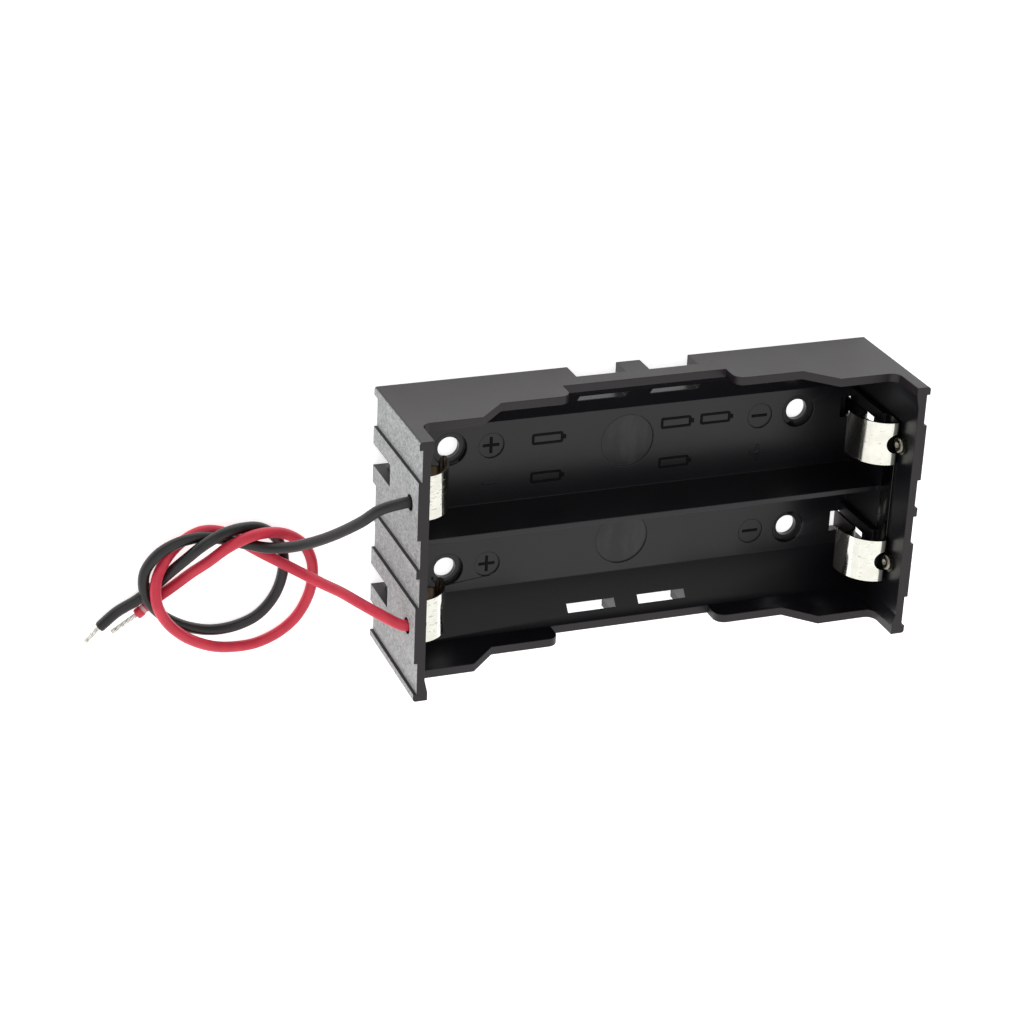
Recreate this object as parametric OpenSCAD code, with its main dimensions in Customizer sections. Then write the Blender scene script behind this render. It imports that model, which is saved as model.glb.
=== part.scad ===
// Two-bay holder for cylindrical cells, lying on its back with both leads out.
// X runs along the cells, Y across the bays, Z from the back plane to the open face.
// Millimetres. The origin is the middle of the back plane.

/* [Cells] */
// Diameter of each cell
cell_d = 18; // [16:0.5:21]
// Length of each cell
cell_len = 65; // [60:1:72]
// Sideways play of a cell in its bay
cell_play = 0.15; // [0.05:0.05:0.5]

/* [Housing] */
// Thickness of the floor
floor_t = 1.7; // [1.5:0.1:2.4]
// Thickness of the long side walls
side_wall_t = 1.25; // [1:0.05:2]
// Thickness of the end walls over their raised bands
end_wall_t = 1.65; // [1.5:0.05:2.2]
// Thickness of the divider between the bays
divider_t = 0.8; // [0.6:0.1:1.4]
// Height of the divider above the floor
divider_h = 9.4; // [6:0.2:10.5]
// Length kept behind each cell end for its spring contact
contact_room = 4.35; // [4:0.05:5.5]
// Height of the end walls above the top of a cell
rim_h = 0.7; // [0.2:0.1:2]

/* [Side wall profile] */
// Height of the wall shoulder next to each end wall
shoulder_h = 14.3; // [13:0.1:15.5]
// Height of the wall between the slope and the finger gap
step_h = 10.2; // [9:0.1:12]
// Height of the wall in the finger gap
gap_h = 6.5; // [6.5:0.1:8]
// Length of the finger gap
gap_len = 25.3; // [20:0.5:32]
// Radius of the corner beside the finger gap
gap_corner_r = 1.6; // [0.5:0.1:2]
// Distance from an end face to the top of the slope
shoulder_len = 11.2; // [8:0.1:14]
// Length of the post that stiffens each end wall corner
post_len = 2.1; // [1.9:0.1:3]
// Radius between the shoulder and the post
post_fillet_r = 1.5; // [0.5:0.1:2]
// Radius of the upright outer corners
corner_r = 0.4; // [0.2:0.1:0.8]

/* [Haunch] */
// Slope of the haunch between floor and side wall, in degrees
haunch_angle = 41.3; // [38:0.1:46]
// Clearance between the haunch and a cell
haunch_gap = 0.22; // [0.05:0.01:0.5]
// Thickness of the haunch and skirt over the cored underside
skirt_t = 1.3; // [1:0.05:1.6]
// Thickness of the webs between the cores
web_t = 1.3; // [1:0.1:2]

/* [Wall windows] */
// Length of each window
window_len = 7.6; // [5:0.1:9]
// Height of the window in the outer skirt
window_h = 3.7; // [2.5:0.1:4.4]
// Width of the tab between the two windows
window_tab = 3.7; // [2:0.1:6]
// Width of the window in the haunch
window_inner_w = 1.05; // [0.8:0.05:1.5]
// Distance from the outer wall face to the inner edge of the window
window_depth = 3.5; // [3:0.1:4]

/* [End wall bands] */
// Depth of the recessed bands
band_recess = 0.5; // [0.3:0.05:0.7]
// Width of the raised band behind each contact
band_w = 8.65; // [7:0.05:10]
// Width of the rib on the middle of the end wall
band_rib_w = 1.35; // [0.8:0.05:2]
// Width of the lip at each side of the end wall
band_lip_w = 1.2; // [0.8:0.05:2]

/* [Contact openings] */
// Width of the notch and of the floor slot at each contact
slot_w = 3.3; // [3:0.1:4.5]
// Height of the notch in the end wall
notch_h = 7.9; // [5:0.1:9]
// Length of the slot in the floor
slot_len = 2.3; // [1.8:0.1:3]

/* [Mounting holes] */
// Distance between the hole centres along the holder
hole_spacing_x = 55; // [44:0.5:58]
// Distance between the hole centres across the holder
hole_spacing_y = 19.2; // [16:0.2:20]
// Diameter of the through hole
hole_d = 3.3; // [2.5:0.1:3.8]
// Diameter of the recess for the screw head
hole_recess_d = 5.1; // [4.4:0.1:6]
// Depth of the recess for the screw head
hole_recess_depth = 0.75; // [0.3:0.05:1]

/* [Floor marks] */
// Diameter of the large shallow disc in each bay
pad_d = 8.2; // [5:0.1:9]
// Depth of the large disc
pad_depth = 0.2; // [0.1:0.05:0.4]
// Distance of the large disc from the divider's middle
pad_y = 7.9; // [6:0.1:9]
// Diameter of the small discs that carry the polarity signs
sign_d = 3.9; // [3:0.1:5]
// Depth of the small discs
sign_depth = 0.25; // [0.1:0.05:0.4]
// Distance from the middle of the holder to the small discs
sign_x = 21.2; // [15:0.1:22]

/* [Spring contacts] */
// Thickness of the sheet
sheet_t = 0.3; // [0.2:0.05:0.4]
// Width of each leaf
leaf_w = 6.6; // [5:0.1:8]
// Reach of the leaf from the end wall
bow_reach = 5.5; // [5:0.1:6]
// Drop of the leaf's apex below the axis of a cell
apex_drop = 0.1; // [0:0.1:1]
// Rise of the leaf's crown above the axis of a cell
crown_rise = 5.6; // [5.3:0.1:6]
// Width of the flat strip that lies on the end wall
strip_w = 3; // [2:0.1:3.4]
// Radius of the fold at the top of the strip
fold_r = 0.7; // [0.5:0.05:0.9]
// Width of the tongue that stands in the floor slot
tongue_w = 2.6; // [2:0.1:2.8]
// Radius of the corners where the leaf narrows
leaf_corner_r = 1.9; // [1:0.1:2]
// Radius of the ear that takes the eyelet
ear_r = 1.45; // [1.3:0.05:1.6]
// Clearance between the leaf's notch and the solder in it
notch_gap = 0.1; // [0.05:0.05:0.5]

/* [Eyelets] */
// Rise of the eyelets and lead holes above the leaf's crown
eyelet_rise = 0.6; // [0.5:0.05:1]
// Outer diameter of the eyelet's barrel
eyelet_d = 1.5; // [1.3:0.1:1.7]
// Bore of the eyelet
eyelet_bore = 1; // [0.9:0.1:1.1]
// Diameter of the eyelet's rolled head
eyelet_head_d = 2.3; // [2.1:0.1:2.5]
// Height of the eyelet's rolled head
eyelet_head_h = 0.55; // [0.4:0.05:0.7]
// Clearance round the eyelet's barrel
eyelet_gap = 0.05; // [0.03:0.01:0.1]
// Diameter of the lead hole in the outer face
lead_hole_d = 2.4; // [2.1:0.1:2.8]
// Depth of the lead hole
lead_hole_depth = 0.8; // [0.6:0.05:0.9]

/* [Leads] */
// Outer diameter of the insulation
lead_d = 1.6; // [1.2:0.1:1.8]
// Diameter of the bare conductor
core_d = 0.84; // [0.6:0.02:0.86]
// Height of the solder dome on the eyelet
solder_h = 0.35; // [0.25:0.05:0.8]

/* [Hidden] */
$fn = 48;
eps = 0.01;
over = 1;

// Housing, all from the cell size
bay_w = cell_d + cell_play;
cell_y = (divider_t + bay_w) / 2;
inner_x = cell_len / 2 + contact_room;
inner_y = divider_t / 2 + bay_w;
half_len = inner_x + end_wall_t;
half_w = inner_y + side_wall_t;
body_h = floor_t + cell_d + rim_h;
axis_h = floor_t + cell_d / 2;
bow_apex_h = axis_h - apex_drop;
bow_crown_h = axis_h + crown_rise;
eyelet_h = bow_crown_h + eyelet_rise;
post_x = half_len - post_len;
slope_top_x = half_len - shoulder_len;
slope_bottom_x = slope_top_x - (shoulder_h - step_h);
haunch_r = cell_d / 2 + haunch_gap;
haunch_y = cell_y + (haunch_r - cell_d / 2 * cos(haunch_angle)) / sin(haunch_angle);
haunch_slope = tan(haunch_angle);
haunch_h = (inner_y - haunch_y) * haunch_slope;
haunch_lift = skirt_t / cos(haunch_angle);
core_inset = 2;
core_y0 = haunch_y + core_inset;
core_y1 = half_w - skirt_t;
window_x0 = window_tab / 2;
window_x1 = window_x0 + window_len;
window_y0 = half_w - window_depth;
slot_x0 = inner_x - slot_len;
gusset_w = 2;

// Contacts, measured inward from the inner face of the end wall
fold_h = bow_crown_h - fold_r;
fold_x = sheet_t / 2 + fold_r;
strip_h0 = fold_h - strip_w;
foot_x = 0.75;
foot_h = 0.6;
foot_bend = [0.15, 1.3];
foot_handle = [2.15, 4];
crown_handle = [2.25, 0.1];
apex_handle_up = 3.6;
apex_handle_down = 3.2;
leaf_corner_drop = 0.3;
flare_t = 0.2;
flare_gap = 0.25;
flare_x = -(end_wall_t - lead_hole_depth);
lead_end_x = flare_x - flare_t;
head_x = sheet_t + eyelet_head_h;

// Routes of the two leads, from the lead hole to the end of the bare tip
black_route = [
    [-37.9, 9.5, 16.9], [-39.5, 9.4, 16.8], [-42.4, 8.3, 15.8], [-44.5, 6.2, 14.4],
    [-46.4, 4.2, 12.5], [-48.3, 2.4, 10.5], [-50.3, 0.8, 8.4], [-52.5, -0.5, 6.3],
    [-55.1, -1.2, 4.3], [-58, -0.9, 2.8], [-61.2, 0.1, 2.5], [-64.4, 0.8, 2.6],
    [-67.7, 0.4, 2.7], [-70.6, -1.2, 2.6], [-72.4, -3.9, 2.5], [-72.3, -7.2, 2.7],
    [-70.6, -10, 2.6], [-68.1, -12.2, 2.2], [-65.2, -13.8, 1.7], [-62.1, -14.7, 1.2],
    [-58.8, -14.6, 0.9], [-55.8, -13.4, 0.9], [-53.5, -11, 0.9], [-52.2, -8, 0.9],
    [-51.9, -4.7, 0.9], [-52.9, -1.6, 1], [-55.3, 0.6, 1.5], [-58.3, 1.5, 2.6],
    [-61.4, 1.6, 3.9], [-64.4, 0.4, 4.4], [-66.6, -1.8, 3.5], [-68.6, -4.2, 2.2],
    [-70.6, -6.6, 1.1], [-73.2, -8.6, 0.9], [-76.1, -10.1, 0.9], [-78.7, -12.2, 0.9],
    [-80.7, -14.2, 0.9]
];
red_route = [
    [-37.9, -9.5, 16.9], [-39.4, -9.3, 16.7], [-42, -8.1, 15], [-44.1, -7.3, 12.6],
    [-46, -6.7, 9.9], [-47.9, -6.4, 7.2], [-50, -5.8, 4.7], [-52.4, -4.8, 2.7],
    [-55.1, -3.4, 1.5], [-57.8, -1.6, 1], [-60.5, 0.3, 0.9], [-63.7, 0.9, 0.9],
    [-66.7, -0.3, 1.1], [-69.2, -2.3, 2], [-70.9, -4.7, 3.4], [-71.1, -7.8, 4.3],
    [-69.8, -10.8, 4.2], [-67.7, -13.3, 3.8], [-65.2, -15.3, 3.1], [-62.3, -16.8, 2.4],
    [-59.2, -17.6, 1.7], [-56, -17.7, 1.2], [-52.8, -16.7, 0.9], [-50.2, -14.7, 0.9],
    [-48.5, -11.9, 1], [-47.7, -8.7, 1.2], [-47.9, -5.4, 1.4], [-49.3, -2.5, 1.7],
    [-51.9, -0.4, 2.3], [-54.9, 0.6, 3.2], [-58, 0.7, 4.2], [-61.1, -0.5, 4.4],
    [-63.5, -2.6, 3.6], [-65.8, -4.7, 2.4], [-68.1, -6.9, 1.4], [-70.7, -8.9, 0.9],
    [-73.3, -10.9, 0.9], [-76.9, -13.2, 0.9]
];

// Points on an arc from angle a0 to a1 in n steps
function arc_pts(cx, cy, r, a0, a1, n) =
    [for (i = [0:n]) [cx + r * cos(a0 + (a1 - a0) * i / n), cy + r * sin(a0 + (a1 - a0) * i / n)]];

// Points on a cubic curve from a to d, drawn towards b and c
function curve_pts(a, b, c, d, n) =
    [for (i = [1:n]) let (t = i / n, u = 1 - t)
        u * u * u * a + 3 * u * u * t * b + 3 * u * t * t * c + t * t * t * d];

function unit2(v) = v / norm(v);

// Left-hand normal of a path at point i
function path_normal(p, i) =
    let (a = p[max(i - 1, 0)], b = p[min(i + 1, len(p) - 1)], d = unit2(b - a)) [-d[1], d[0]];

// Closed outline of a sheet of thickness t that follows a path
function sheet_outline(p, t) = concat(
    [for (i = [0:len(p) - 1]) p[i] + path_normal(p, i) * t / 2],
    [for (i = [len(p) - 1:-1:0]) p[i] - path_normal(p, i) * t / 2]);

// Direction of a route at point i; it leaves the end wall square
function route_dir(p, i) =
    let (d = p[min(i + 1, len(p) - 1)] - p[max(i - 1, 0)])
    i == 0 ? [-1, 0, 0] : d / norm(d);

// Eight points round a route at point i
function route_ring(p, i, d) =
    let (t = route_dir(p, i), s = cross(t, [0, 0, 1]), side = s / norm(s), up = cross(side, t))
    [for (a = [0:45:315]) p[i] + d / 2 * (cos(a) * side + sin(a) * up)];

// Front edge of the right half of a side wall, from the middle to the end
function wall_edge() = concat(
    [[gap_len / 2, gap_h]],
    arc_pts(gap_len / 2 + gap_corner_r, step_h - gap_corner_r, gap_corner_r, 180, 90, 8),
    [[slope_bottom_x, step_h], [slope_top_x, shoulder_h]],
    arc_pts(post_x - post_fillet_r, shoulder_h + post_fillet_r, post_fillet_r, 270, 360, 8),
    [[post_x, body_h], [half_len, body_h], [half_len, 0]]);

function mirrored(p) = [for (i = [len(p) - 1:-1:0]) [-p[i][0], p[i][1]]];

// Rectangle with rounded corners, centred
module rounded_rect(x, y, r) {
    c = [x / 2 - r, y / 2 - r];
    polygon(concat(
        arc_pts(c[0], c[1], r, 0, 90, 6),
        arc_pts(-c[0], c[1], r, 90, 180, 6),
        arc_pts(-c[0], -c[1], r, 180, 270, 6),
        arc_pts(c[0], -c[1], r, 270, 360, 6)));
}

// Draws its children at both ends, bays, or both
module both_ends() {
    children();
    mirror([1, 0, 0]) children();
}
module both_bays() {
    children();
    mirror([0, 1, 0]) children();
}

// Prism along X from x0 to x1 over an outline in Y and Z
module prism_x(x0, x1, outline) {
    translate([x0, 0, 0])
        rotate([90, 0, 90])
            linear_extrude(x1 - x0) polygon(outline);
}

module side_wall() {
    translate([0, half_w, 0])
        rotate([90, 0, 0])
            linear_extrude(side_wall_t) polygon(concat(mirrored(wall_edge()), wall_edge()));
}

module haunch() {
    prism_x(-inner_x - eps, inner_x + eps, [
        [haunch_y, floor_t], [inner_y, floor_t + haunch_h], [inner_y + eps, floor_t + haunch_h],
        [inner_y + eps, 0], [haunch_y, 0]]);
}

// Thickening where the end wall meets a corner post
module corner_gusset() {
    linear_extrude(body_h)
        polygon([[inner_x + eps, inner_y - gusset_w], [post_x, inner_y], [post_x, inner_y + eps],
            [inner_x + eps, inner_y + eps]]);
}

// Cores that keep the haunch and skirt to an even thickness
module underside_core(x0, x1) {
    z0 = floor_t + (core_y0 - haunch_y) * haunch_slope - haunch_lift;
    z1 = floor_t + (core_y1 - haunch_y) * haunch_slope - haunch_lift;
    prism_x(x0, x1, [[core_y0, -over], [core_y0, z0], [core_y1, z1], [core_y1, -over]]);
}

module underside_cores() {
    x0 = window_x1 + web_t;
    x1 = inner_x - web_t;
    pitch = (x1 - x0 + web_t) / 2;
    for (i = [0:1])
        underside_core(x0 + i * pitch, x0 + (i + 1) * pitch - web_t);
}

// Window through skirt and haunch, open at the back
module wall_window() {
    y1 = window_y0 + window_inner_w;
    prism_x(window_x0, window_x1, [
        [window_y0, -over], [window_y0, floor_t + haunch_h], [y1, floor_t + haunch_h],
        [y1, window_h], [half_w + over, window_h], [half_w + over, -over]]);
}

// Recessed bands on the outside of an end wall
module end_bands() {
    y0 = band_rib_w / 2;
    y1 = cell_y - band_w / 2;
    y2 = cell_y + band_w / 2;
    y3 = half_w - band_lip_w;
    translate([half_len - band_recess, 0, -over]) {
        translate([0, y0, 0]) cube([over + band_recess, y1 - y0, body_h + 2 * over]);
        translate([0, y2, 0]) cube([over + band_recess, y3 - y2, body_h + 2 * over]);
    }
}

// Notch in the end wall and slot in the floor for the tongue of a contact
module contact_opening() {
    translate([slot_x0, cell_y - slot_w / 2, -over])
        cube([half_len + over - slot_x0, slot_w, floor_t + over + eps]);
    translate([inner_x - eps, cell_y - slot_w / 2, -over])
        cube([end_wall_t + over, slot_w, notch_h + over]);
}

// Stepped hole for an eyelet, with the lead hole outside
module eyelet_hole() {
    translate([inner_x - over, cell_y, eyelet_h])
        rotate([0, 90, 0]) cylinder(d = eyelet_d + 2 * eyelet_gap, h = end_wall_t + over);
    translate([half_len - lead_hole_depth, cell_y, eyelet_h])
        rotate([0, 90, 0]) cylinder(d = lead_hole_d, h = lead_hole_depth + over);
}

module mounting_hole() {
    translate([hole_spacing_x / 2, hole_spacing_y / 2, -over]) {
        cylinder(d = hole_d, h = floor_t + 2 * over);
        translate([0, 0, over + floor_t - hole_recess_depth])
            cylinder(d = hole_recess_d, h = hole_recess_depth + over);
    }
}

module floor_marks() {
    translate([0, pad_y, floor_t - pad_depth]) cylinder(d = pad_d, h = over);
    both_ends()
        translate([sign_x, cell_y, floor_t - sign_depth]) cylinder(d = sign_d, h = over);
}

module holder_body() {
    color([0.16, 0.16, 0.17])
    difference() {
        intersection() {
            union() {
                translate([-half_len, -half_w, 0]) cube([2 * half_len, 2 * half_w, floor_t]);
                both_bays() {
                    side_wall();
                    haunch();
                    both_ends() corner_gusset();
                }
                both_ends()
                    translate([inner_x, -half_w, 0]) cube([end_wall_t, 2 * half_w, body_h]);
                translate([-inner_x - eps, -divider_t / 2, floor_t - eps])
                    cube([2 * (inner_x + eps), divider_t, divider_h + eps]);
            }
            translate([0, 0, -over])
                linear_extrude(body_h + 2 * over) rounded_rect(2 * half_len, 2 * half_w, corner_r);
        }
        both_bays() {
            floor_marks();
            both_ends() {
                underside_cores();
                wall_window();
                end_bands();
                contact_opening();
                eyelet_hole();
                mounting_hole();
            }
        }
    }
}

// Path of one leaf, inward and upward from the end wall
function leaf_path() = concat(
    [[sheet_t / 2, strip_h0]],
    arc_pts(fold_x, fold_h, fold_r, 180, 90, 6),
    curve_pts([fold_x, bow_crown_h], [fold_x, bow_crown_h] + crown_handle,
        [bow_reach, bow_apex_h + apex_handle_up], [bow_reach, bow_apex_h], 10),
    curve_pts([bow_reach, bow_apex_h], [bow_reach, bow_apex_h - apex_handle_down],
        [foot_x, foot_h] + foot_handle, [foot_x, foot_h] + foot_bend, 10),
    [[foot_x, foot_h]]);

// Face outline of a leaf: full width down to the corners, then the tongue
function leaf_face() =
    let (c = leaf_w / 2 - leaf_corner_r, h = bow_apex_h - leaf_corner_drop) concat(
        [[-leaf_w / 2, bow_crown_h + over]],
        arc_pts(-c, h, leaf_corner_r, 180, 270, 8),
        [[-tongue_w / 2, h - leaf_corner_r], [-tongue_w / 2, 0],
            [tongue_w / 2, 0], [tongue_w / 2, h - leaf_corner_r]],
        arc_pts(c, h, leaf_corner_r, 270, 360, 8),
        [[leaf_w / 2, bow_crown_h + over]]);

// Flat strip with its ear, standing on the end wall
module strip(w) {
    translate([0, -w / 2, strip_h0]) cube([sheet_t, w, strip_w]);
    translate([0, -ear_r, fold_h - eps]) cube([sheet_t, 2 * ear_r, eyelet_h - fold_h + eps]);
    translate([0, 0, eyelet_h]) rotate([0, 90, 0]) cylinder(r = ear_r, h = sheet_t);
}

// The notch reaches as far as its half width, or only just past the solder
module leaf(round_notch) {
    notch_r = ear_r + eyelet_gap;
    reach = round_notch ? fold_r : head_x + solder_h + notch_gap;
    notch_h0 = fold_r + sheet_t + over;
    difference() {
        intersection() {
            rotate([90, 0, 0])
                translate([0, 0, -leaf_w / 2])
                    linear_extrude(leaf_w) polygon(sheet_outline(leaf_path(), sheet_t));
            prism_x(-over, bow_reach + over, leaf_face());
        }
        if (round_notch)
            translate([fold_r, 0, fold_h]) cylinder(r = notch_r, h = notch_h0);
        translate([-over, -notch_r, fold_h])
            cube([over + reach, 2 * notch_r, notch_h0]);
    }
}

module ear_bore() {
    translate([-over, 0, eyelet_h])
        rotate([0, 90, 0]) cylinder(d = eyelet_d + 2 * eyelet_gap, h = sheet_t + 2 * over);
}

// One contact, in the frame of the end wall's inner face
module contact(round_notch) {
    difference() {
        union() {
            leaf(round_notch);
            strip(leaf_w);
        }
        ear_bore();
    }
}

// Puts a part made in the end wall's frame at the left or right end of a bay
module at_left(side) {
    translate([-inner_x, side * cell_y, 0]) children();
}
module at_right(side) {
    translate([inner_x, side * cell_y, 0]) mirror([1, 0, 0]) children();
}

module negative_contact() {
    color([0.8, 0.79, 0.74]) at_left(1) contact(false);
}
module positive_contact() {
    color([0.8, 0.79, 0.74]) at_left(-1) contact(false);
}

// One stamping: both leaves of the right end and the strip that links them
module link_contact() {
    color([0.8, 0.79, 0.74]) {
        at_right(1) contact(true);
        at_right(-1) contact(true);
        translate([inner_x - sheet_t, -cell_y, strip_h0]) cube([sheet_t, 2 * cell_y, strip_w]);
    }
}

// Hollow rivet through the ear and the end wall, flared in the lead hole
module eyelet() {
    head_r = eyelet_head_d / 2;
    flare_r = lead_hole_d / 2 - flare_gap;
    roll = eyelet_head_h / 2;
    translate([0, 0, eyelet_h])
        rotate([0, 90, 0])
            rotate_extrude()
                polygon(concat(
                    [[eyelet_bore / 2, lead_end_x], [flare_r, lead_end_x],
                        [flare_r, flare_x], [eyelet_d / 2, flare_x],
                        [eyelet_d / 2, sheet_t], [head_r, sheet_t]],
                    arc_pts(head_r - roll, head_x - roll, roll, 0, 90, 4),
                    [[eyelet_bore / 2, head_x]]));
}

module negative_eyelet() {
    color([0.85, 0.84, 0.8]) at_left(1) eyelet();
}
module positive_eyelet() {
    color([0.85, 0.84, 0.8]) at_left(-1) eyelet();
}
module link_eyelet_upper() {
    color([0.85, 0.84, 0.8]) at_right(1) eyelet();
}
module link_eyelet_lower() {
    color([0.85, 0.84, 0.8]) at_right(-1) eyelet();
}

// Solder dome over the conductor's end
module solder() {
    dome_r = eyelet_head_d / 2 - eyelet_head_h / 2;
    sphere_r = (dome_r * dome_r + solder_h * solder_h) / (2 * solder_h);
    rise = asin((sphere_r - solder_h) / sphere_r);
    translate([head_x, 0, eyelet_h])
        rotate([0, 90, 0])
            rotate_extrude()
                polygon(concat([[0, 0]], arc_pts(0, solder_h - sphere_r, sphere_r, rise, 90, 4)));
}

module negative_solder() {
    color([0.72, 0.72, 0.7]) at_left(1) solder();
}
module positive_solder() {
    color([0.72, 0.72, 0.7]) at_left(-1) solder();
}

// Bare conductor from the end of the insulation to the solder
module core() {
    translate([lead_end_x, 0, eyelet_h])
        rotate([0, 90, 0]) cylinder(d = core_d, h = head_x - lead_end_x);
}

module black_core() {
    color([0.75, 0.6, 0.45]) at_left(1) core();
}
module red_core() {
    color([0.75, 0.6, 0.45]) at_left(-1) core();
}

// Round tube of diameter d along a route from point i0 to point i1
module tube(p, i0, i1, d) {
    rings = [for (i = [i0:i1]) each route_ring(p, i, d)];
    last = 8 * (i1 - i0);
    sides = [for (j = [0:8:last - 8]) for (k = [0:7])
        let (m = (k + 1) % 8) each [[j + k, j + 8 + k, j + m], [j + m, j + 8 + k, j + 8 + m]]];
    polyhedron(rings, concat([[for (k = [0:7]) k]], sides, [[for (k = [7:-1:0]) last + k]]));
}

module black_wire() {
    color([0.1, 0.1, 0.11]) tube(black_route, 0, len(black_route) - 2, lead_d);
}
module red_wire() {
    color([0.75, 0.14, 0.22]) tube(red_route, 0, len(red_route) - 2, lead_d);
}
module black_wire_tip() {
    color([0.75, 0.75, 0.75])
        tube(black_route, len(black_route) - 2, len(black_route) - 1, core_d);
}
module red_wire_tip() {
    color([0.75, 0.75, 0.75]) tube(red_route, len(red_route) - 2, len(red_route) - 1, core_d);
}

holder_body();
negative_contact();
positive_contact();
link_contact();
negative_eyelet();
positive_eyelet();
link_eyelet_upper();
link_eyelet_lower();
negative_solder();
positive_solder();
black_core();
red_core();
black_wire();
red_wire();
black_wire_tip();
red_wire_tip();
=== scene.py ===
import math

import bmesh
import bpy
from mathutils import Matrix, Vector


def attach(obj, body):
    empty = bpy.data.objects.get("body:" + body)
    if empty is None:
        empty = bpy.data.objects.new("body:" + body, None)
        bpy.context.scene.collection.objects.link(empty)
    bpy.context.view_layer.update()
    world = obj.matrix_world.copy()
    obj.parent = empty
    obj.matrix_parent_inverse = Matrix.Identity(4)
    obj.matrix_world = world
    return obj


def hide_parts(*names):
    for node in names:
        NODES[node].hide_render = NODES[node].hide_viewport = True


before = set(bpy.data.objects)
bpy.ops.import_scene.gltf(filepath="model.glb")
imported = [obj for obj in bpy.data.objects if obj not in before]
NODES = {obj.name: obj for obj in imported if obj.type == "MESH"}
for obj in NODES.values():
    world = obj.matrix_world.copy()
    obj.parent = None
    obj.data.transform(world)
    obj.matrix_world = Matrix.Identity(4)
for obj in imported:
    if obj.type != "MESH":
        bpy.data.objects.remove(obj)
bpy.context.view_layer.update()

# Looks of a two-bay holder for cylindrical cells. X runs along the cells, Y across the bays
# and Z up from the back plane. Sizes are in millimetres, and times MM they are in metres.
# CM is one centimetre.
MM = 0.001
CM = 10

# The holder's ends and bays, as signs on X and Y
LEAD_END, LINK_END = -1, 1
RED_BAY, BLACK_BAY = -1, 1

# Housing, as in its solid
INNER_X = 36.85
INNER_Y = 18.55
AXIS_Y = 9.475
FLOOR_H = 1.7
WINDOW_X = (1.85, 9.45)
WINDOW_H = 3.7
SLOT_L = 2.3
SLOT_W = 3.3
PAD_D = 8.2
PAD_Y = 7.9
SIGN_X = 21.2
SIGN_DEPTH = 0.25

# Contacts and eyelets, as in their solids
SHEET_T = 0.3
LEAF_W = 6.6
TONGUE_W = 2.6
STRIP_W = 3.0
FOLD_R = 0.7
CROWN_H = 16.3
EYELET_H = 16.9
EAR_R = 1.45

# Course of a leaf below its fold, as distances from the end wall and heights. A curve's
# handles lie between its ends.
BOW_HANDLES = ((3.1, 16.4), (5.5, 14.2))
APEX = (5.5, 10.6)
TURN_HANDLES = ((5.5, 9.7), (5.0, 9.2))
TURN_FOOT = (4.3, 8.9)
TONGUE_HANDLES = ((2.6, 8.2), (0.95, 8.1))
TONGUE = [(0.85, 6.9), (0.85, 3.5), (0.85, 0.6)]
FOLD_STEPS, BOW_STEPS, TURN_STEPS, TONGUE_STEPS = 10, 22, 8, 12
NARROWING_STEPS = 4

# Notch of a leaf, rounding of its strip, and how far leaf and ears lap the strip
NOTCH_GAP = 0.05
SQUARE_NOTCH_L = 1.3
STRIP_ROUND = 0.06
LEAF_LAP = 0.4
EAR_LAP = 0.5

# Flared cut over each wall window: its reach across the wall, its foot, and its top inside
FLARE_Y = (17.33, 19.82)
FLARE_FOOT = 2.5
FLARE_TOP = 5.35

# Ribs beside the tongues, and a dark sheet in one floor slot, painted shade for what is seen
# through it
RAIL_T = 0.85
RAIL_W = 1.85
RAIL_GAP = 2.62
RAIL_TOP = 12.4
RAIL_ROUND = 0.12
SHADE_SHEET_Z = (0.05, 0.3)
SHADE_SHEET_GAP = 0.05

# Raised marks on the floor: strokes of the signs, and outlines of cells at their places
SIGN_L = 2.5
PLAIN_Y = 3.65
STROKE_W = 0.42
MARK_H = 0.1
MARK_ROUND = 0.04
CROSS_STEP = 0.01
CELL_MARKS = ((7.6, 10), (13.9, 10), (7.6, PLAIN_Y), (-12.6, 9.7), (-12.6, PLAIN_Y))
CELL_L = 4.8
CELL_W = 1.7
CELL_CORNER = 0.3
OUTLINE_W = STROKE_W * 0.8
BUTTON_W = CELL_W * 0.4
BUTTON_OUT = 0.25

# How deep a rib and a mark are sunk into what carries them, and how far a cutter runs past
RAIL_SUNK = 0.05
MARK_SUNK = 0.02
OVER = 1

# Sides of a round cutter or ear
ROD_SIDES = 48

# Distance in metres under which two points are one, and angles in degrees
WELD = 1e-6
FLAT_ANGLE = 0.5
HOUSING_ANGLE = 20
SHEET_ANGLE = 35
ROUND_ANGLE = 50

# ---------------------------------------------------------------- camera

CAMERA_SENSOR = 36
CAMERA_LENS = 91.06
CAMERA_SHIFT = (0.05138, -0.05488)
CAMERA_CLIP = (0.01, 20)
CAMERA_PLACE = Vector((-141.22, 158.67, 320.62)) * MM
CAMERA_RIGHT = Vector((0.94470768, 0.03109036, 0.3264365))
CAMERA_UP = Vector((0.10547911, 0.91377551, -0.39228621))
CAMERA_BACK = Vector((-0.310486, 0.40502803, 0.85997136))


def make_camera():
    """Camera above the lead end, on the black lead's side."""
    camera = bpy.data.objects.new("camera", bpy.data.cameras.new("camera"))
    bpy.context.scene.collection.objects.link(camera)
    camera.data.sensor_width = CAMERA_SENSOR
    camera.data.lens = CAMERA_LENS
    camera.data.shift_x, camera.data.shift_y = CAMERA_SHIFT
    camera.data.clip_start, camera.data.clip_end = CAMERA_CLIP
    turn = Matrix((CAMERA_RIGHT, CAMERA_UP, CAMERA_BACK)).transposed()
    camera.matrix_world = Matrix.Translation(CAMERA_PLACE) @ turn.to_4x4()
    bpy.context.scene.camera = camera


make_camera()

# ---------------------------------------------------------------- leads

LEAD_D = 1.6
LEAD_SIDES = 20
ROUTE_STEP = 0.3

# Groove near the end of the red lead: place, half width, depth, and where its tint fades
RING_BACK = 1.3
RING_W = 0.25
RING_DEPTH = 0.09
RING_FADE = (0.28, 0.18)

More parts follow.
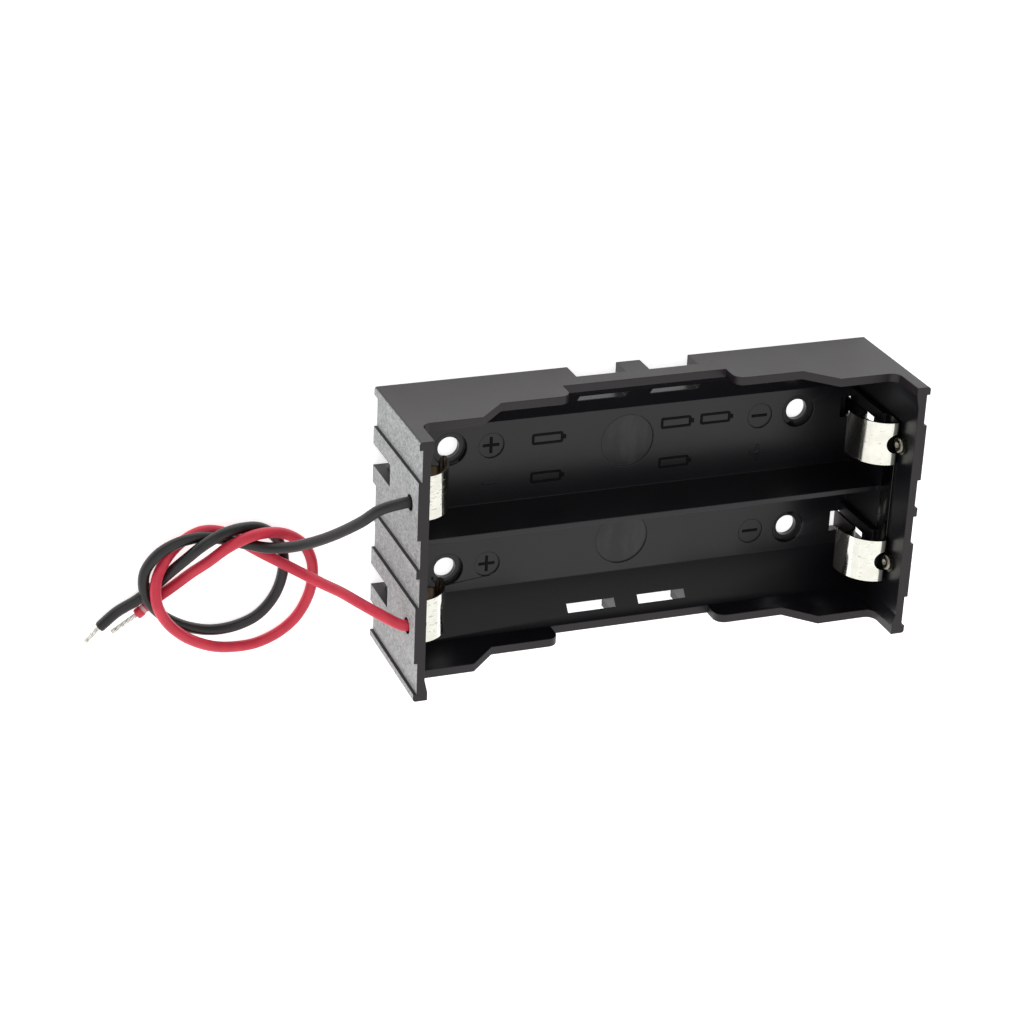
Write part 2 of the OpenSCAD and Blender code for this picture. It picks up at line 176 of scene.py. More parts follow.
# Strands of the stripped tips: one straight, the others laid round it
CORE_D = 0.84
STRAND_COUNT = 7
STRAND_R = CORE_D / 6.6
STRAND_OUT = CORE_D / 3.6
STRAND_PITCH = 5.0
STRAND_STEPS = 24
STRAND_SIDES = 8

# Routes from the eyelet to the end of the insulation, and last the end of the bare tip
BLACK_ROUTE = [
    (-37.9, 9.5, 16.9), (-39.5, 9.4, 16.8), (-42.4, 8.3, 15.8), (-44.5, 6.2, 14.4),
    (-46.4, 4.2, 12.5), (-48.3, 2.4, 10.5), (-50.3, 0.8, 8.4), (-52.5, -0.5, 6.3),
    (-55.1, -1.2, 4.3), (-58, -0.9, 2.8), (-61.2, 0.1, 2.5), (-64.4, 0.8, 2.6),
    (-67.7, 0.4, 2.7), (-70.6, -1.2, 2.6), (-72.4, -3.9, 2.5), (-72.3, -7.2, 2.7),
    (-70.6, -10, 2.6), (-68.1, -12.2, 2.2), (-65.2, -13.8, 1.7), (-62.1, -14.7, 1.2),
    (-58.8, -14.6, 0.9), (-55.8, -13.4, 0.9), (-53.5, -11, 0.9), (-52.2, -8, 0.9),
    (-51.9, -4.7, 0.9), (-52.9, -1.6, 1), (-55.3, 0.6, 1.5), (-58.3, 1.5, 2.6),
    (-61.4, 1.6, 3.9), (-64.4, 0.4, 4.4), (-66.6, -1.8, 3.5), (-68.6, -4.2, 2.2),
    (-70.6, -6.6, 1.1), (-73.2, -8.6, 0.9), (-76.1, -10.1, 0.9), (-78.7, -12.2, 0.9),
    (-80.7, -14.2, 0.9),
]

RED_ROUTE = [
    (-37.9, -9.5, 16.9), (-39.4, -9.3, 16.7), (-42, -8.1, 15), (-44.1, -7.3, 12.6),
    (-46, -6.7, 9.9), (-47.9, -6.4, 7.2), (-50, -5.8, 4.7), (-52.4, -4.8, 2.7),
    (-55.1, -3.4, 1.5), (-57.8, -1.6, 1), (-60.5, 0.3, 0.9), (-63.7, 0.9, 0.9),
    (-66.7, -0.3, 1.1), (-69.2, -2.3, 2), (-70.9, -4.7, 3.4), (-71.1, -7.8, 4.3),
    (-69.8, -10.8, 4.2), (-67.7, -13.3, 3.8), (-65.2, -15.3, 3.1), (-62.3, -16.8, 2.4),
    (-59.2, -17.6, 1.7), (-56, -17.7, 1.2), (-52.8, -16.7, 0.9), (-50.2, -14.7, 0.9),
    (-48.5, -11.9, 1), (-47.7, -8.7, 1.2), (-47.9, -5.4, 1.4), (-49.3, -2.5, 1.7),
    (-51.9, -0.4, 2.3), (-54.9, 0.6, 3.2), (-58, 0.7, 4.2), (-61.1, -0.5, 4.4),
    (-63.5, -2.6, 3.6), (-65.8, -4.7, 2.4), (-68.1, -6.9, 1.4), (-70.7, -8.9, 0.9),
    (-73.3, -10.9, 0.9), (-76.9, -13.2, 0.9),
]


def smooth_route(route):
    """Points in metres along a smooth curve through the route, about one step apart."""
    points = [Vector(p) for p in route]
    first = points[0] * 2 - points[1]
    last = points[-1] * 2 - points[-2]
    chain = [first] + points + [last]
    out = []
    for a, b, c, d in zip(chain, chain[1:], chain[2:], chain[3:]):
        slope = (c - a) * 0.5
        bend = a - b * 2.5 + c * 2 - d * 0.5
        swing = (b - c) * 1.5 + (d - a) * 0.5
        count = max(1, round((c - b).length / ROUTE_STEP))
        for k in range(count):
            t = k / count
            out.append(b + t * (slope + t * (bend + t * swing)))
    out.append(points[-1])
    return [p * MM for p in out]


def travelling_frames(path):
    """A sideways and an upward direction at each point, turning as little as possible."""
    chain = [path[0]] + path + [path[-1]]
    tangents = [(after - before).normalized() for before, after in zip(chain, chain[2:])]
    side = tangents[0].cross(Vector((0, 0, 1))).normalized()
    frames = []
    for t in tangents:
        side = (side - t * side.dot(t)).normalized()
        frames.append((side, t.cross(side)))
    return frames


def swept_tube(name, path, radii, sides):
    """Closed round tube along a path. Its UV map has the length left to its end on U, in
    centimetres, and the way round it on V."""
    mesh = bpy.data.meshes.new(name)
    bm = bmesh.new()
    turns = [2 * math.pi * k / sides for k in range(sides)]
    rings = []
    for p, (side, up), r in zip(path, travelling_frames(path), radii):
        rings.append([bm.verts.new(p + (side * math.cos(a) + up * math.sin(a)) * r)
                      for a in turns])
    uv = bm.loops.layers.uv.new("along")
    run = [0.0]
    for a, b in zip(path, path[1:]):
        run.append(run[-1] + (b - a).length)
    for i, (low, high) in enumerate(zip(rings, rings[1:])):
        for k in range(sides):
            m = (k + 1) % sides
            face = bm.faces.new((low[k], low[m], high[m], high[k]))
            face.smooth = True
            ends = ((run[i], k), (run[i], k + 1), (run[i + 1], k + 1), (run[i + 1], k))
            for loop, (u, v) in zip(face.loops, ends):
                loop[uv].uv = ((run[-1] - u) / (CM * MM), v / sides)
    bm.faces.new(list(reversed(rings[0])))
    bm.faces.new(rings[-1])
    bmesh.ops.recalc_face_normals(bm, faces=bm.faces[:])
    bm.to_mesh(mesh)
    bm.free()
    return mesh


def hand_over(piece, material, replaces=()):
    """Gives a piece its finish and hands it to the frame."""
    piece.data.materials.clear()
    piece.data.materials.append(material)
    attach(piece, "root")
    if replaces:
        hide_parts(*replaces)


def new_piece(name, mesh):
    piece = bpy.data.objects.new(name, mesh)
    bpy.context.scene.collection.objects.link(piece)
    return piece


# ---------------------------------------------------------------- finishes

class Field:
    """A number or a colour that varies over a surface. Its operators add Math nodes."""

    def __init__(self, graph, socket):
        self.graph = graph
        self.socket = socket

    def math(self, operation, other=0.0, swapped=False):
        pair = (other, self) if swapped else (self, other)
        return self.graph.node("Math", {0: pair[0], 1: pair[1]}, operation=operation)

    def __add__(self, other):
        return self.math("ADD", other)

    def __sub__(self, other):
        return self.math("SUBTRACT", other)

    def __rsub__(self, other):
        return self.math("SUBTRACT", other, swapped=True)

    def __mul__(self, other):
        return self.math("MULTIPLY", other)

    def __pow__(self, other):
        return self.math("POWER", other)

    def __abs__(self):
        return self.math("ABSOLUTE")

    __radd__ = __add__
    __rmul__ = __mul__

    def step(self, low, high):
        """Smooth change from 0 to 1 while the value goes from low to high."""
        return self.graph.node("MapRange", {"Value": self, "From Min": low, "From Max": high},
                               interpolation_type="SMOOTHSTEP")


class Graph:
    """A node tree whose nodes are written as expressions."""

    def __init__(self, tree):
        self.tree = tree

    def set(self, node, values):
        for key, value in values.items():
            socket = node.inputs[key.replace("_", " ") if isinstance(key, str) else key]
            if isinstance(value, Field):
                self.tree.links.new(value.socket, socket)
            else:
                socket.default_value = value

    def node(self, kind, values=None, output=0, **settings):
        """Adds a node, first with its settings and then with the values of its sockets."""
        node = self.tree.nodes.new("ShaderNode" + kind)
        for key, value in settings.items():
            setattr(node, key, value)
        self.set(node, values or {})
        return Field(self, node.outputs[output])

    def place(self, output="Object"):
        return self.node("TexCoord", output=output)

    def axis(self, vector, name):
        return self.node("SeparateXYZ", {0: vector}, output=name)


class Finish(Graph):
    """A procedural material."""

    def __init__(self, name, **shader):
        self.material = bpy.data.materials.new(name)
        self.material.use_nodes = True
        super().__init__(self.material.node_tree)
        self.shader = self.tree.nodes["Principled BSDF"]
        self.set(self.shader, shader)

    def noise(self, size, detail, stretch=(1, 1, 1), vector=None):
        """Noise with features of about the given size in millimetres."""
        where = self.node("VectorMath", {0: vector or self.place(), 1: stretch},
                          operation="MULTIPLY")
        return self.node("TexNoise", {"Vector": where, "Scale": 1 / (size * MM),
                                      "Detail": detail})

    def mix(self, factor, first, second):
        """Colour between the first and the second, on the colour sockets of a Mix node."""
        return self.node("Mix", {0: factor, 6: first, 7: second}, output=2, data_type="RGBA")

    def bump(self, height, depth, strength=1.0, **normal):
        """Bump whose height field runs from 0 to 1 over a depth in millimetres."""
        return self.node("Bump", {"Height": height, "Distance": depth * MM,
                                  "Strength": strength, **normal})

    def done(self, **values):
        self.set(self.shader, values)
        return self.material


def grey(value, warm=0.0):
    return (value * (1 + warm), value, value * (1 - warm), 1)


# Width over which one finish passes into the next
FADE = 0.1
# How far outside an end wall's inner face its painted light begins, and the housing's edge radius
PAINTED_LIGHT_OFFSET = 0.9
EDGE_R = 0.19
# Colours, where a pair is mixed over the surface
MOULDED_BLACK = ((0.0085, 0.0048, 0.0068, 1), (0.0115, 0.007, 0.0095, 1))
# Darker black inside the bays: painted shade
BAY_SHADE_BLACK = (0.0055, 0.0052, 0.0072, 1)
# Darker black of the marks and of the slot's sheet: painted shade
MARK_SHADE_BLACK = ((0.004, 0.004, 0.004, 1), (0.007, 0.0065, 0.007, 1))
# Pale grain of the end faces: the grain is their texture, the paleness is painted light, the
# bright floor they mirror
LIT_END_GRAIN = ((0.216, 0.224, 0.225, 1), (0.45, 0.466, 0.467, 1))
FLOW_GREY = (0.52, 0.52, 0.52, 1)
PAD_GREY = (0.03, 0.03, 0.032, 1)
TINNED = ((0.80, 0.79, 0.70, 1), (0.88, 0.87, 0.79, 1))
SCRATCHED = (0.50, 0.47, 0.40, 1)
SHADED = (0.055, 0.06, 0.052, 1)
# Dark bronze of a leaf below its bow: painted shade, lighter at the lead end
SHADE_BRONZE = ((0.05, 0.044, 0.04, 1), (0.20, 0.155, 0.10, 1))
# Heights between which a leaf darkens to bronze, painted shade under its bow, and how much higher
# they are at the lead end
SHADE_BRONZE_H = (9.4, 8.6)
SHADE_BRONZE_RISE = 1.6
# Places on X over which the back of the strips, and all of the link's, pass into shade
BACK_X = (36.7, 36.9)
LINK_X = (36.0, 36.3)


def housing_finish():
    """Black moulded plastic: grainy end faces made pale with painted light, bays darkened with
    painted shade, a swirl on each round disc.
    """
    f = Finish("moulded_black", IOR=1.5)
    where = f.place()
    grain = f.noise(0.3, 3)
    speck = f.noise(0.75, 2)
    cloud = f.noise(9, 3)
    flow = f.noise(1.3, 2, (1, 0.5, 0.1))
    swirl = f.noise(2.6, 3, (1, 0.35, 1))
    along = abs(f.axis(where, "X"))
    across = abs(f.axis(where, "Y"))
    skin_x = INNER_X + PAINTED_LIGHT_OFFSET
    end_face = abs(f.axis(f.place("Normal"), "X")).step(0.5, 0.9)
    outside = along.step(skin_x * MM, (skin_x + FADE) * MM) * end_face
    inside = along.step((INNER_X + FADE) * MM, INNER_X * MM) * across.step(
        (INNER_Y + FADE) * MM, INNER_Y * MM)
    base = f.mix(cloud.step(0.35, 0.65), *MOULDED_BLACK)
    # Painted shade: inside the bays the same moulding is darker
    base = f.mix(inside, base, BAY_SHADE_BLACK)
    # Painted light: the end faces are pale where they mirror the bright floor; their grain and
    # flow streaks are texture
    pale = f.mix(grain.step(0.36, 0.64) * 0.7 + speck.step(0.4, 0.62) * 0.3, *LIT_END_GRAIN)
    pale = f.mix(flow.step(0.56, 0.66) * 0.25, pale, FLOW_GREY)
    base = f.mix(outside, base, pale)
    ring = (f.axis(where, "X") ** 2 + (across - PAD_Y * MM) ** 2) ** 0.5
    pad = ring.step(PAD_D / 2 * MM, (PAD_D / 2 - FADE) * MM) * inside
    base = f.mix(pad * swirl.step(0.45, 0.7) * 0.6, base, PAD_GREY)
    rough = 0.46 + 0.12 * (cloud - 0.5) + outside * 0.12 - inside * 0.14
    edge = f.node("Bevel", {"Radius": EDGE_R * MM}, samples=5)
    depth = f.bump(grain * (0.35 + outside * 0.65), 0.03, Normal=edge)
    return f.done(Base_Color=base, Roughness=rough, Normal=depth)


def shaded_mark_finish():
    """Dull black plastic, darker than the housing as painted shade, for the floor marks, whose
    moulded strokes lie in shade, and for the dark sheet in one floor slot.
    """
    f = Finish("shaded_mark", IOR=1.2)
    cloud = f.noise(0.8, 3)
    base = f.mix(cloud.step(0.35, 0.65), *MARK_SHADE_BLACK)
    return f.done(Base_Color=base, Roughness=0.55 + 0.1 * (cloud - 0.5),
                  Normal=f.bump(f.noise(0.25, 2), 0.02, 0.5))


def contact_finish():
    """Tinned spring steel, brushed across the leaf and scratched along it, darkened to bronze
    below its bow by painted shade, and with painted shade on its strips.
    """
    f = Finish("tinned_spring_steel", Metallic=1.0)
    brushed = f.noise(0.5, 4, (1, 0.05, 1))
    smear = f.noise(1.6, 3)
    scratch = f.noise(0.3, 3, (0.35, 1, 0.35))
    height = f.axis(f.place(), "Z")
    reach = f.axis(f.place(), "X")
    lead_end = reach.step(0.0, LEAD_END * MM)
    # Painted shade: below its bow the leaf darkens to bronze, a lighter bronze at the lead end
    foot = (height - lead_end * (SHADE_BRONZE_RISE * MM)).step(*(h * MM for h in SHADE_BRONZE_H))
    link_strip = reach.step(*(x * MM for x in LINK_X))
    shaded = abs(reach).step(*(x * MM for x in BACK_X)).math("MAXIMUM", link_strip)
    marks = (scratch + lead_end * 0.05).step(0.61, 0.70) * smear.step(0.36, 0.56)
    base = f.mix(smear.step(0.3, 0.7), *TINNED)
    base = f.mix(marks * 0.7, base, SCRATCHED)
    base = f.mix(shaded, base, SHADED)
    base = f.mix(foot, base, f.mix(lead_end, *SHADE_BRONZE))
    rough = 0.08 + 0.08 * brushed + marks * 0.15 + foot * 0.2 + shaded * 0.1
    bump = f.bump(brushed * 0.4 + smear * 0.6, 0.02, 0.25)
    return f.done(Base_Color=base, Roughness=rough, Normal=bump)


def plated_finish(name, tint, rough):
    """Dull plated metal, darker where its patina lies."""
    f = Finish(name, Metallic=1.0)
    patina = f.noise(0.5, 3)
    base = f.mix(patina.step(0.35, 0.7), tint, tuple(c * 0.6 for c in tint[:3]) + (1,))
    return f.done(Base_Color=base, Roughness=rough + 0.2 * patina,
                  Normal=f.bump(patina, 0.03, 0.5))


def insulation_finish(name, tints, rough, ring=None):
    """Drawn plastic insulation, clouded between two tints, with a tinted ring if one is given."""
    f = Finish(name, IOR=1.5)
    along = f.node("UVMap", uv_map="along")
    cloud = f.noise(3.0, 3)
    drawn = f.noise(90, 2, (0.2, 6, 1), vector=along)
    base = f.mix(cloud.step(0.35, 0.65), *tints)
    if ring:
        left = f.axis(along, "X")
        base = f.mix(abs(left - RING_BACK / CM).step(*(w / CM for w in RING_FADE)), base, ring)
    return f.done(Base_Color=base, Roughness=rough + 0.1 * (cloud - 0.5),
                  Normal=f.bump(drawn * 0.5 + f.noise(0.35, 2) * 0.5, 0.02, 0.5))


HOUSING = housing_finish()
SHADED_MARK = shaded_mark_finish()
CONTACT = contact_finish()
EYELET = plated_finish("plated_eyelet", (0.36, 0.33, 0.27, 1), 0.2)
SOLDER = plated_finish("solder", (0.60, 0.60, 0.59, 1), 0.28)
STRANDS = plated_finish("tinned_strands", (0.96, 0.94, 0.88, 1), 0.36)
BLACK = insulation_finish("black_insulation", (grey(0.007), grey(0.011, 0.06)), 0.34)
RED = insulation_finish("red_insulation", ((0.62, 0.024, 0.055, 1), (0.72, 0.034, 0.07, 1)), 0.4,
                        (0.75, 0.45, 0.45, 1))

# ---------------------------------------------------------------- leads, made

def stranded_tip(colour, start, end):
    """Tinned strands twisted round the line from start to end."""
    name = colour + "_strands"
    line = end - start
    ahead = line.normalized()
    side = ahead.cross(Vector((0, 0, 1))).normalized()
    up = side.cross(ahead)
    whole = bmesh.new()
    for k in range(STRAND_COUNT):
        out = STRAND_OUT * MM if k else 0
        path = []
        for i in range(STRAND_STEPS + 1):
            t = i / STRAND_STEPS
            turn = 2 * math.pi * (k / (STRAND_COUNT - 1) + line.length * t / (STRAND_PITCH * MM))
            path.append(start + line * t + (side * math.cos(turn) + up * math.sin(turn)) * out)
        mesh = swept_tube(name, path, [STRAND_R * MM] * len(path), STRAND_SIDES)
        whole.from_mesh(mesh)
        bpy.data.meshes.remove(mesh)
    mesh = bpy.data.meshes.new(name)
    whole.to_mesh(mesh)
    whole.free()
    tip = new_piece(name, mesh)
    hand_over(tip, STRANDS, (colour + "_wire_tip",))
    return tip


def lead(colour, route, material, ringed=False):
    """Insulated lead with its stripped tip, drawn in a little at its end and at its ring."""
    path = smooth_route(route[:-1])
    radii = []
    for point in path:
        ring = ringed and abs((path[-1] - point).length - RING_BACK * MM) < RING_W * MM
        radii.append((LEAD_D / 2 - (RING_DEPTH if ring or point == path[-1] else 0)) * MM)
    name = colour + "_insulation"
    wire = new_piece(name, swept_tube(name, path, radii, LEAD_SIDES))
    hand_over(wire, material, (colour + "_wire",))
    start, end = (Vector(p) * MM for p in route[-2:])
    strands = stranded_tip(colour, start, end)
    length = sum((b - a).length for a, b in zip(path, path[1:]))


lead("black", BLACK_ROUTE, BLACK)
lead("red", RED_ROUTE, RED, True)
for core in ("black_core", "red_core"):
    NODES[core].data.materials.clear()
    NODES[core].data.materials.append(STRANDS)

# ---------------------------------------------------------------- modelling helpers

def clear_selection():
    bpy.ops.object.select_all(action="DESELECT")


def pick(*pieces):
    clear_selection()
    for piece in pieces:
        piece.select_set(True)
    bpy.context.view_layer.objects.active = pieces[0]


class Editing:
    """Edit mode on one piece, with its whole mesh selected at first."""

    def __init__(self, piece):
        pick(piece)

    def __enter__(self):
        bpy.ops.object.mode_set(mode="EDIT")
        bpy.ops.mesh.select_all(action="SELECT")

    def __exit__(self, *stopped_by):
        bpy.ops.object.mode_set(mode="OBJECT")


def in_place():
    """The new primitive, with its place in its mesh."""
    bpy.ops.object.transform_apply(location=True, rotation=True, scale=True)
    return bpy.context.object


def joined(pieces):
    pick(*pieces)
    if len(pieces) > 1:
        bpy.ops.object.join()
    return bpy.context.object


def settled(piece, name, material, replaces=(), angle=SHEET_ANGLE):
    """Names and shades a finished piece, smooth up to an angle, and hands it over."""
    pick(piece)
    bpy.ops.object.shade_smooth_by_angle(angle=math.radians(angle))
    piece.name = piece.data.name = name
    hand_over(piece, material, replaces)


def apply_modifier(piece, kind, **settings):
    pick(piece)
    modifier = piece.modifiers.new(kind.lower(), kind)
    for key, value in settings.items():
        setattr(modifier, key, value)
    bpy.ops.object.modifier_apply(modifier=modifier.name)


def cut(piece, cutters):
    for cutter in cutters:
        apply_modifier(piece, "BOOLEAN", object=cutter, operation="DIFFERENCE", solver="EXACT")
        bpy.data.objects.remove(cutter)


def block(low, high, round_over=0.0, segments=2):
    """Box between two corners in millimetres, with its edges rounded if that is asked."""
    clear_selection()
    centre = [(a + b) / 2 * MM for a, b in zip(low, high)]
    bpy.ops.mesh.primitive_cube_add(size=1, location=centre,
                                    scale=[(b - a) * MM for a, b in zip(low, high)])
    piece = in_place()
    if round_over:
        apply_modifier(piece, "BEVEL", width=round_over * MM, segments=segments)
    return piece


def rod(low, high, radius):
    """Cylinder between two points in millimetres."""
    clear_selection()
    line = (Vector(high) - Vector(low)) * MM
    middle = (Vector(high) + Vector(low)) * MM / 2
    bpy.ops.mesh.primitive_cylinder_add(vertices=ROD_SIDES, radius=radius * MM, depth=line.length,
                                        location=middle,
                                        rotation=line.to_track_quat("Z", "Y").to_euler())
    return in_place()


def square(size, centre):
    """Flat square with its centre at a point, both in metres."""
    clear_selection()
    bpy.ops.mesh.primitive_plane_add(size=size, location=centre)
    return in_place()


def merged_copy(node):
    """A solid's own shape, with the corners of its loose facets merged."""
    piece = new_piece(node, NODES[node].data.copy())
    with Editing(piece):
        bpy.ops.mesh.remove_doubles(threshold=WELD)
    return piece


# ---------------------------------------------------------------- spring contacts

def arc(centre, radius, start, end, count):
    turns = (math.radians(start + (end - start) * k / count) for k in range(count + 1))
    return [(centre[0] + radius * math.cos(t), centre[1] + radius * math.sin(t)) for t in turns]


def cubic(a, b, c, d, count):
    """Points on a cubic curve from a to d, without a itself."""
    out = []
    for k in range(1, count + 1):
        t = k / count
        u = 1 - t
        out.append(tuple(u * u * u * p + 3 * u * u * t * q + 3 * u * t * t * r + t * t * t * v
                         for p, q, r, v in zip(a, b, c, d)))
    return out


def leaf_path():
    """Fold, bow, apex and tongue of a contact, as (inward, height) pairs, with half widths."""
    fold_h = CROWN_H - FOLD_R
    fold_x = SHEET_T / 2 + FOLD_R
    upper = [(SHEET_T / 2, fold_h - LEAF_LAP)]
    upper += arc((fold_x, fold_h), FOLD_R, 180, 90, FOLD_STEPS)
    upper += cubic((fold_x, CROWN_H), *BOW_HANDLES, APEX, BOW_STEPS)
    turn = cubic(APEX, *TURN_HANDLES, TURN_FOOT, TURN_STEPS)
    lower = cubic(TURN_FOOT, *TONGUE_HANDLES, TONGUE[0], TONGUE_STEPS) + TONGUE[1:]
    widths = [LEAF_W / 2] * len(upper)
    for k in range(len(turn)):
        drop = min(1.0, k / NARROWING_STEPS)
        widths.append(TONGUE_W / 2 + (LEAF_W - TONGUE_W) / 2 * math.sqrt(1 - drop * drop))
    widths += [TONGUE_W / 2] * len(lower)
    return upper + turn + lower, widths


def leaf(end, bay):
    """One leaf, drawn edge by edge along its path, given its thickness and notched. The notch
    is square at the lead end and round at the linked end."""
    path, widths = leaf_path()
    y = bay * AXIS_Y
    spots = [Vector((end * (INNER_X - inward), y, height)) * MM for inward, height in path]
    sheet = square(2 * widths[0] * MM, spots[0])
    with Editing(sheet):
        bpy.ops.transform.resize(value=(0, 1, 1), center_override=spots[0])
        bpy.ops.mesh.remove_doubles(threshold=WELD)
        for before, spot, was, width in zip(spots, spots[1:], widths, widths[1:]):
            bpy.ops.mesh.extrude_region_move(TRANSFORM_OT_translate={"value": spot - before})
            if width != was:
                bpy.ops.transform.resize(value=(1, width / was, 1), center_override=spot)
    apply_modifier(sheet, "SOLIDIFY", thickness=SHEET_T * MM, offset=0)
    with Editing(sheet):
        bpy.ops.mesh.normals_make_consistent(inside=False)
    notch = EAR_R + NOTCH_GAP
    foot, top = CROWN_H - FOLD_R, CROWN_H + OVER
    inner_x = end * (INNER_X - (FOLD_R if end == LINK_END else SQUARE_NOTCH_L))
    x = sorted((end * (INNER_X + OVER), inner_x))
    cutters = [block((x[0], y - notch, foot), (x[1], y + notch, top))]
    if end == LINK_END:
        cutters.append(rod((inner_x, y, foot), (inner_x, y, top), notch))
    cut(sheet, cutters)
    return sheet


def strip(end, bays):
    """Flat strip on the end wall with one ear for each eyelet."""
    x = sorted((end * INNER_X, end * (INNER_X - SHEET_T)))
    y = sorted(bay * AXIS_Y for bay in bays)
    top = CROWN_H - FOLD_R
    parts = [block((x[0], y[0] - LEAF_W / 2, top - STRIP_W), (x[1], y[-1] + LEAF_W / 2, top),
                   STRIP_ROUND)]
    for ear in y:
        parts.append(block((x[0], ear - EAR_R, top - EAR_LAP), (x[1], ear + EAR_R, EYELET_H)))
        parts.append(rod((x[0], ear, EYELET_H), (x[1], ear, EYELET_H), EAR_R))
    return parts


def contact(name, end, bays):
    parts = strip(end, bays) + [leaf(end, bay) for bay in bays]
    settled(joined(parts), name + "_bowed", CONTACT, (name,))


contact("negative_contact", LEAD_END, [BLACK_BAY])
contact("positive_contact", LEAD_END, [RED_BAY])
contact("link_contact", LINK_END, [BLACK_BAY, RED_BAY])
for eyelet in ("negative_eyelet", "positive_eyelet", "link_eyelet_upper", "link_eyelet_lower"):
    settled(merged_copy(eyelet), eyelet + "_rolled", EYELET, (eyelet,), ROUND_ANGLE)
for dome in ("negative_solder", "positive_solder"):
    settled(merged_copy(dome), dome + "_dome", SOLDER, (dome,), ROUND_ANGLE)

# ---------------------------------------------------------------- housing details

def flare(half, bay):
    """Cutter over one wall window, high inside and sloping down to the window outside."""
    x = sorted(half * edge for edge in WINDOW_X)
    y = sorted(bay * edge for edge in FLARE_Y)
    cutter = block((x[0], y[0], FLARE_FOOT), (x[1], y[1], FLARE_TOP))
    with Editing(cutter):
        for vertex in bmesh.from_edit_mesh(cutter.data).verts:
            outer = abs(vertex.co.y) > INNER_Y * MM
            vertex.select_set(outer and vertex.co.z > WINDOW_H * MM)
        bpy.ops.transform.translate(value=(0, 0, (WINDOW_H - FLARE_TOP) * MM))
    return cutter


def housing():
    """The housing with the slots over its wall windows flared towards the outside."""
    body = merged_copy("holder_body")
    cut(body, [flare(half, bay) for half in (-1, 1) for bay in (RED_BAY, BLACK_BAY)])
    with Editing(body):
        bpy.ops.mesh.dissolve_limited(angle_limit=math.radians(FLAT_ANGLE))
    settled(body, "housing", HOUSING, ("holder_body",), HOUSING_ANGLE)
    apply_modifier(body, "WEIGHTED_NORMAL", weight=100, keep_sharp=True)


def guide_rails():
    """Ribs on the end walls, one at each side of every tongue."""
    rails = []
    for end in (LEAD_END, LINK_END):
        x = sorted((end * (INNER_X + RAIL_SUNK), end * (INNER_X - RAIL_T)))
        for bay in (RED_BAY, BLACK_BAY):
            for hand in (-1, 1):
                near = bay * AXIS_Y + hand * RAIL_GAP / 2
                y = sorted((near, near + hand * RAIL_W))
                rails.append(block((x[0], y[0], FLOOR_H - RAIL_SUNK), (x[1], y[1], RAIL_TOP),
                                   RAIL_ROUND, 1))
    settled(joined(rails), "guide_rails", HOUSING)


def slot_shade_sheet():
    """Thin dark sheet that closes the floor slot of the black lead's bay at the linked end, a
    painted shade for the dark seen through that slot.
    """
    shade_sheet = block((INNER_X - SLOT_L, AXIS_Y - SLOT_W / 2, SHADE_SHEET_Z[0]),
                 (INNER_X - SHEET_T - SHADE_SHEET_GAP, AXIS_Y + SLOT_W / 2, SHADE_SHEET_Z[1]))
    settled(shade_sheet, "slot_shade_sheet", SHADED_MARK)


def bar(x, y, floor, length, across=False):
    """One raised stroke, lying along or across the bay."""
    dx, dy = (STROKE_W, length) if across else (length, STROKE_W)
    return block((x - dx / 2, y - dy / 2, floor - MARK_SUNK),
                 (x + dx / 2, y + dy / 2, floor + MARK_H), MARK_ROUND, 1)


def minus(x, y, floor):
    return [bar(x, y, floor, SIGN_L)]


def plus(x, y, floor):
    return minus(x, y, floor) + [bar(x, y, floor + CROSS_STEP, SIGN_L, True)]


def cell_mark(x, y):
    """Outline of a cell with its button, raised from the floor."""
    centre = Vector((x, y, FLOOR_H - MARK_SUNK)) * MM
    outline = square(CELL_L * MM, centre)
    with Editing(outline):
        bpy.ops.transform.resize(value=(1, CELL_W / CELL_L, 1), center_override=centre)
        bpy.ops.mesh.bevel(offset=CELL_CORNER * MM, segments=4, affect="VERTICES")
        bpy.ops.mesh.select_all(action="SELECT")
        bpy.ops.mesh.inset(thickness=OUTLINE_W * MM)
        bpy.ops.mesh.delete(type="FACE")
        bpy.ops.mesh.select_all(action="SELECT")
        bpy.ops.mesh.extrude_region_move(
            TRANSFORM_OT_translate={"value": (0, 0, (MARK_H + MARK_SUNK) * MM)})
        bpy.ops.mesh.select_all(action="SELECT")
        bpy.ops.mesh.normals_make_consistent(inside=False)
    return [outline, bar(x + CELL_L / 2 + BUTTON_OUT, y, FLOOR_H, BUTTON_W, True)]


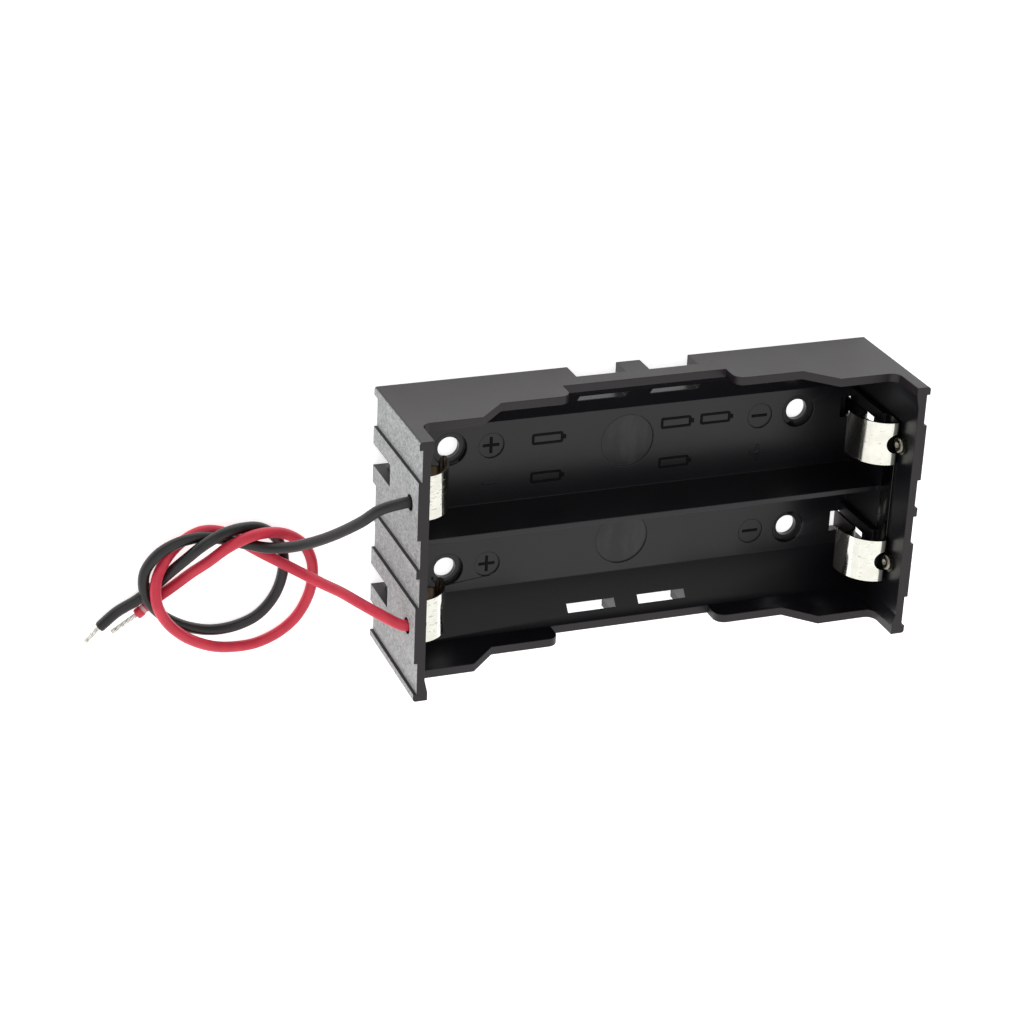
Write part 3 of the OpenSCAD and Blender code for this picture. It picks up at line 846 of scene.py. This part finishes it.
def floor_marks():
    """Polarity signs in the small discs, a plain pair beside the divider, and cell outlines."""
    disc_h = FLOOR_H - SIGN_DEPTH
    signs = []
    for bay in (BLACK_BAY, RED_BAY):
        signs += plus(-SIGN_X, bay * AXIS_Y, disc_h) + minus(SIGN_X, bay * AXIS_Y, disc_h)
    # Painted shade: the signs take the darker black of strokes in shade
    settled(joined(signs), "polarity_signs", SHADED_MARK)
    plain = minus(-SIGN_X, PLAIN_Y, FLOOR_H) + plus(SIGN_X, PLAIN_Y, FLOOR_H)
    settled(joined(plain), "plain_signs", HOUSING)
    cells = []
    for x, y in CELL_MARKS:
        cells += cell_mark(x, y)
    # Painted shade: the cell outlines take the same darker black
    settled(joined(cells), "cell_marks", SHADED_MARK)


housing()
guide_rails()
slot_shade_sheet()
floor_marks()

# ---------------------------------------------------------------- floor and light

# Floor in metres, with its shade and its own glow
FLOOR_SIZE = 6
FLOOR_SHADE = 0.9
FLOOR_GLOW = 0.68
# Brightness of the surroundings, against the Y of the direction that is looked in
SKY = {"From Min": -0.35, "From Max": 0.3, "To Min": 1.08, "To Max": 0.53}
# Name, place and size in metres, and power in watts
LAMPS = (("key", (-0.2, 0.5, 0.9), 0.8, 1.2), ("softbox", (-0.5, -0.46, 0.85), 1.2, 0.3))


def make_floor():
    """Plain pale floor at the back plane."""
    floor = square(FLOOR_SIZE, (0, 0, 0))
    floor.name = "floor"
    f = Finish("pale_floor", Roughness=0.9)
    floor.data.materials.append(f.done(Base_Color=grey(FLOOR_SHADE), Emission_Color=grey(1.0),
                                       Emission_Strength=FLOOR_GLOW))


def make_light():
    """Overcast studio, brighter on the red lead's side, with a key lamp and a softbox."""
    world = bpy.data.worlds.new("studio")
    world.use_nodes = True
    sky = Graph(world.node_tree)
    across = sky.axis(sky.place("Generated"), "Y")
    sky.set(world.node_tree.nodes["Background"],
            {"Color": grey(1.0), "Strength": sky.node("MapRange", {"Value": across, **SKY})})
    bpy.context.scene.world = world
    for name, place, size, watts in LAMPS:
        light = bpy.data.objects.new(name, bpy.data.lights.new(name, "AREA"))
        light.data.size, light.data.energy = size, watts
        light.location = place
        light.rotation_euler = (-Vector(place)).to_track_quat("-Z", "Y").to_euler()
        bpy.context.scene.collection.objects.link(light)


make_floor()
make_light()
bpy.context.scene.view_settings.view_transform = "Standard"
